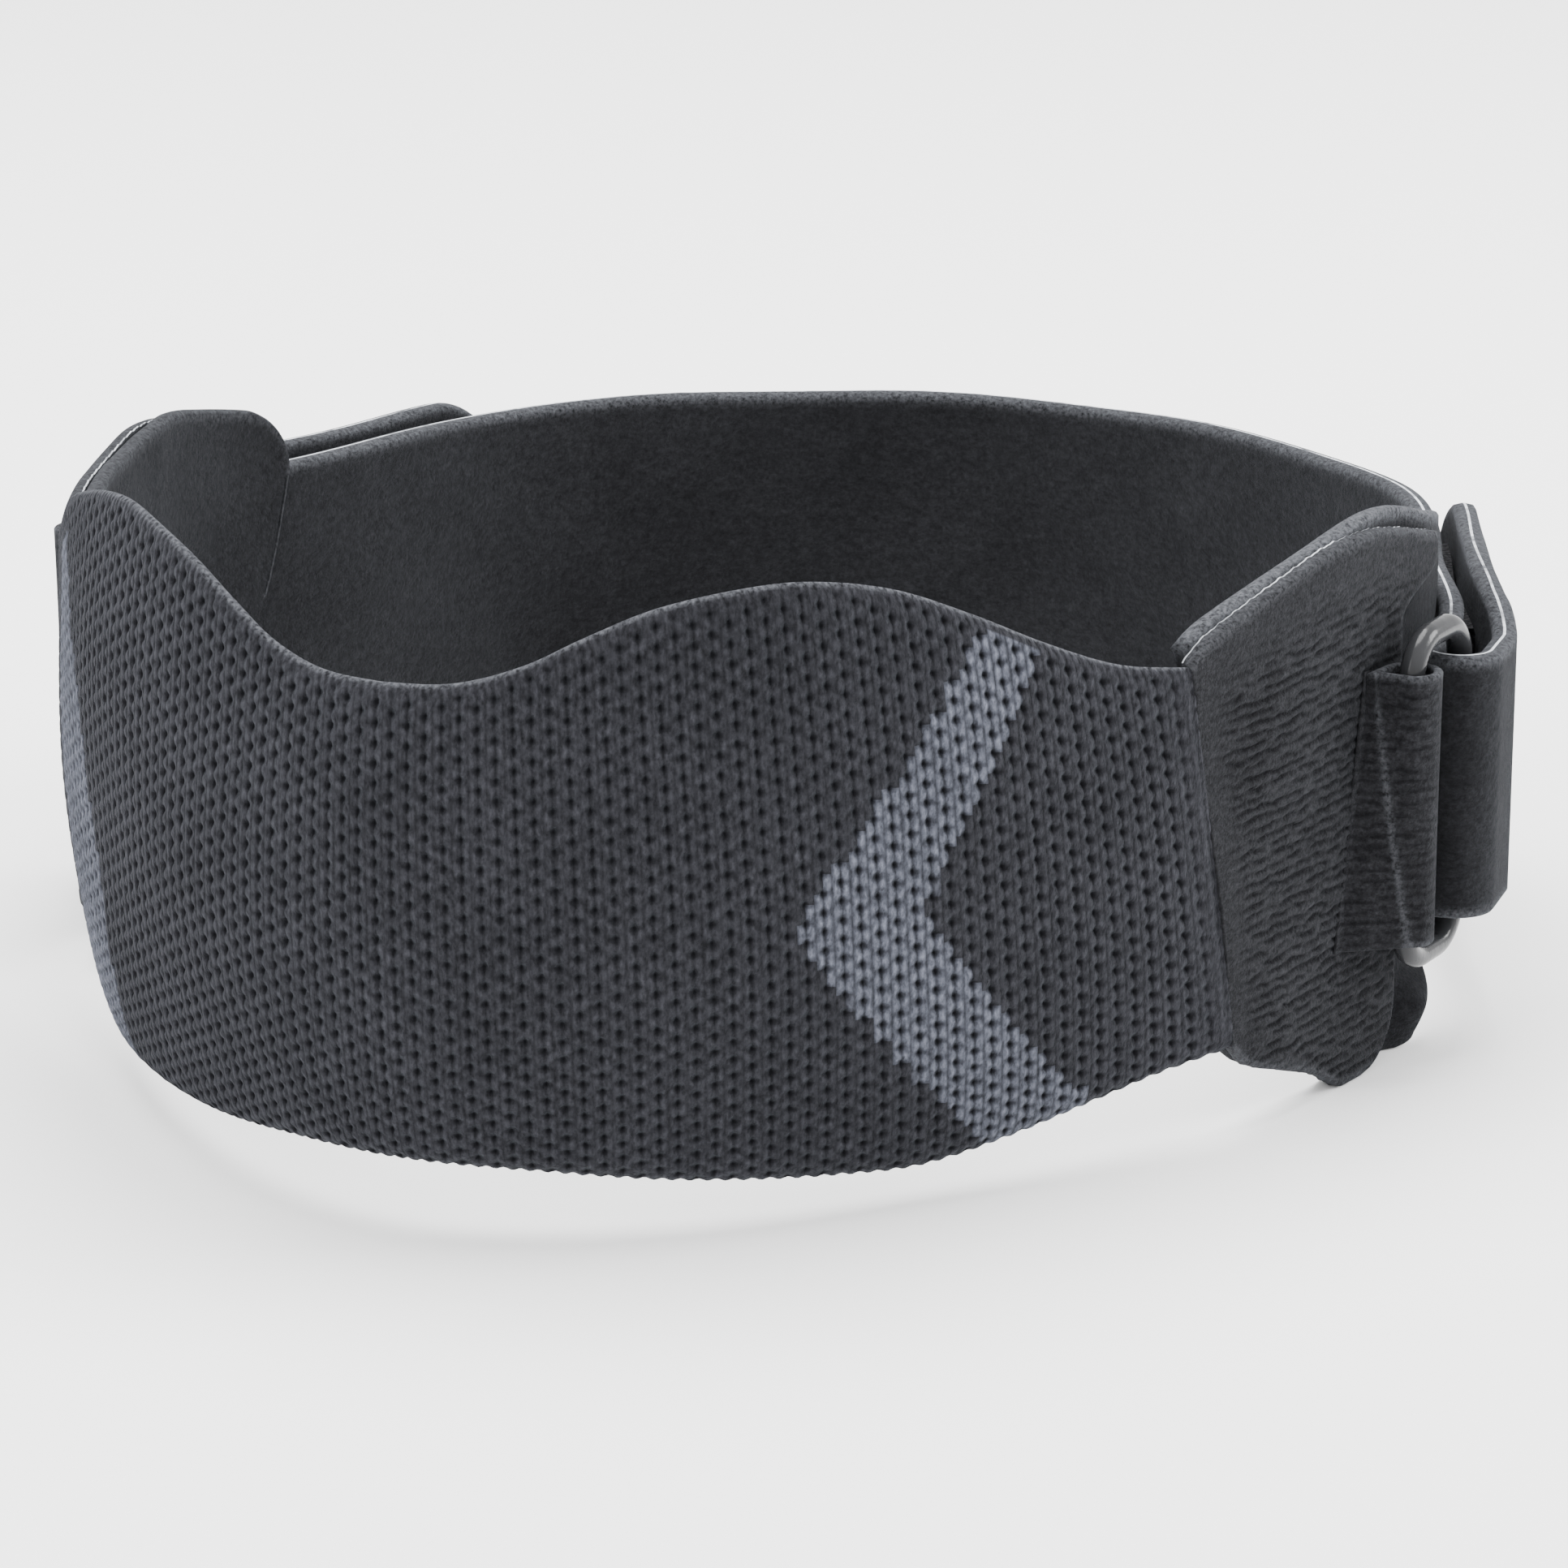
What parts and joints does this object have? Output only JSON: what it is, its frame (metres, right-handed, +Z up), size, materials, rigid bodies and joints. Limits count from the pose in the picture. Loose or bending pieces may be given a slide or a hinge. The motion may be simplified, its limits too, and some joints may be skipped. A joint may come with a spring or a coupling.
{
  "type": "patella strap",
  "caption": "Knitted knee strap with a padded front, ribbed side wings, plastic rings and a soft strap that folds back through the rings round the back of the leg.",
  "frame": {"origin": "on the surface that the strap rests on, under the middle of its box", "axes": "+Z up along the leg, -Y towards the knitted pad's front, +X towards the wearer's left hand when worn on the leg facing -Y"},
  "size_m": [0.1518, 0.165, 0.0589],
  "materials": {
    "knit": "thick two-tone knit",
    "ribbed": "ribbed knit, slightly fuzzy",
    "brushed": "brushed loop cloth",
    "ring_plastic": "smooth matt",
    "hook": "fine hooks"
  },
  "bodies": {
    "root": {"knit_pad": "knit", "wing_right": "ribbed", "wing_left": "ribbed", "flap_right": "brushed", "flap_left": "brushed", "ring_tab_right": "ribbed", "ring_tab_left": "ribbed", "ring_right": "ring_plastic", "ring_left": "ring_plastic", "hook_patch_right": "hook", "hook_patch_left": "hook", "back_strap": "brushed"}
  },
  "joints": []
}
